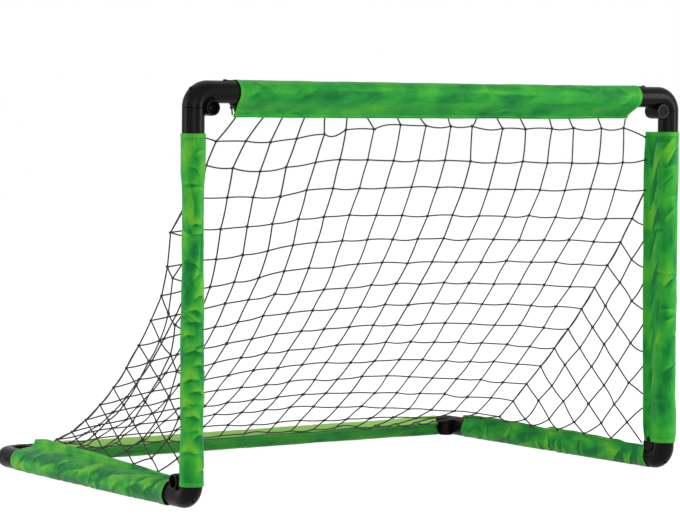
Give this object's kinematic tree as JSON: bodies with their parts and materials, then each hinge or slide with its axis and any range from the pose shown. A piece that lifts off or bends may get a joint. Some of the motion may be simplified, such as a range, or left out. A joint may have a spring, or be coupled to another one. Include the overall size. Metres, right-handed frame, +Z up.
{
  "type": "floorball goal",
  "caption": "Folding goal of joined metal tubes with hinged black plastic corners, green fabric covers and a knotted net that slopes down to the back rail.",
  "frame": {"origin": "on the floor, in the middle of the goal's footprint", "axes": "+Z up, +X along the crossbar to the right seen from the front, +Y from the mouth towards the back rail"},
  "size_m": [0.9044, 0.605, 0.6025],
  "materials": {
    "fitting_plastic": "black moulded plastic with a soft sheen",
    "pin_plastic": "black moulded plastic, slightly duller",
    "tube_steel": "plain grey coated steel tube, hidden by its cover",
    "rivet_steel": "blackened rivet",
    "cover_fabric": "shiny green coated nylon",
    "net_twine": "dark twisted twine"
  },
  "bodies": {
    "base": {"left_side_rail_tube": "tube_steel", "right_side_rail_tube": "tube_steel", "back_rail_tube": "tube_steel", "front_left_elbow": "fitting_plastic", "front_left_hinge_pin": "pin_plastic", "front_left_tube_rivet": "rivet_steel", "front_right_hinge_sleeve": "fitting_plastic", "back_left_elbow": "fitting_plastic", "back_left_hinge_sleeve": "fitting_plastic", "back_left_hinge_pin": "pin_plastic", "back_left_tube_rivet": "rivet_steel", "back_right_elbow": "fitting_plastic", "back_right_hinge_sleeve": "fitting_plastic", "back_right_hinge_pin": "pin_plastic", "back_right_tube_rivet": "rivet_steel", "left_side_rail_cover": "cover_fabric", "right_side_rail_cover": "cover_fabric", "back_rail_cover": "cover_fabric", "back_net": "net_twine", "left_side_net": "net_twine", "right_side_net": "net_twine"},
    "front_frame": {"crossbar_tube": "tube_steel", "left_upright_tube": "tube_steel", "right_upright_tube": "tube_steel", "top_left_elbow": "fitting_plastic", "top_left_hinge_sleeve": "fitting_plastic", "top_left_hinge_pin": "pin_plastic", "top_left_tube_rivet": "rivet_steel", "top_right_elbow": "fitting_plastic", "top_right_hinge_sleeve": "fitting_plastic", "top_right_hinge_pin": "pin_plastic", "top_right_tube_rivet": "rivet_steel", "front_left_hinge_sleeve": "fitting_plastic", "front_right_elbow": "fitting_plastic", "front_right_hinge_pin": "pin_plastic", "front_right_tube_rivet": "rivet_steel", "crossbar_cover": "cover_fabric", "left_upright_cover": "cover_fabric", "right_upright_cover": "cover_fabric"},
    "top_left_lock": {"top_left_lock_button": "pin_plastic"},
    "top_right_lock": {"top_right_lock_button": "pin_plastic"},
    "front_left_lock": {"front_left_lock_button": "pin_plastic"},
    "front_right_lock": {"front_right_lock_button": "pin_plastic"},
    "back_left_lock": {"back_left_lock_button": "pin_plastic"},
    "back_right_lock": {"back_right_lock_button": "pin_plastic"}
  },
  "joints": [
    {"name": "front_fold", "type": "hinge", "parent": "base", "child": "front_frame", "pos_m": [0, -0.262, 0.038], "axis": [-1, 0, 0], "range_deg": [0, 90], "deforming": ["crossbar_cover", "left_upright_cover", "right_upright_cover", "left_side_rail_cover", "right_side_rail_cover", "back_rail_cover", "back_net", "left_side_net", "right_side_net"]},
    {"name": "top_left_press", "type": "slide", "parent": "front_frame", "child": "top_left_lock", "axis": [1, 0, 0], "range_m": [0, 0.004], "stiffness_N_per_m": 400, "springref_m": -0.002},
    {"name": "top_right_press", "type": "slide", "parent": "front_frame", "child": "top_right_lock", "axis": [-1, 0, 0], "range_m": [0, 0.004], "stiffness_N_per_m": 400, "springref_m": -0.002},
    {"name": "front_left_press", "type": "slide", "parent": "front_frame", "child": "front_left_lock", "axis": [0, 1, 0], "range_m": [0, 0.004], "stiffness_N_per_m": 400, "springref_m": -0.002},
    {"name": "front_right_press", "type": "slide", "parent": "base", "child": "front_right_lock", "axis": [0, 0, 1], "range_m": [0, 0.004], "stiffness_N_per_m": 400, "springref_m": -0.002},
    {"name": "back_left_press", "type": "slide", "parent": "base", "child": "back_left_lock", "axis": [1, 0, 0], "range_m": [0, 0.004], "stiffness_N_per_m": 400, "springref_m": -0.002},
    {"name": "back_right_press", "type": "slide", "parent": "base", "child": "back_right_lock", "axis": [0, -1, 0], "range_m": [0, 0.004], "stiffness_N_per_m": 400, "springref_m": -0.002}
  ]
}
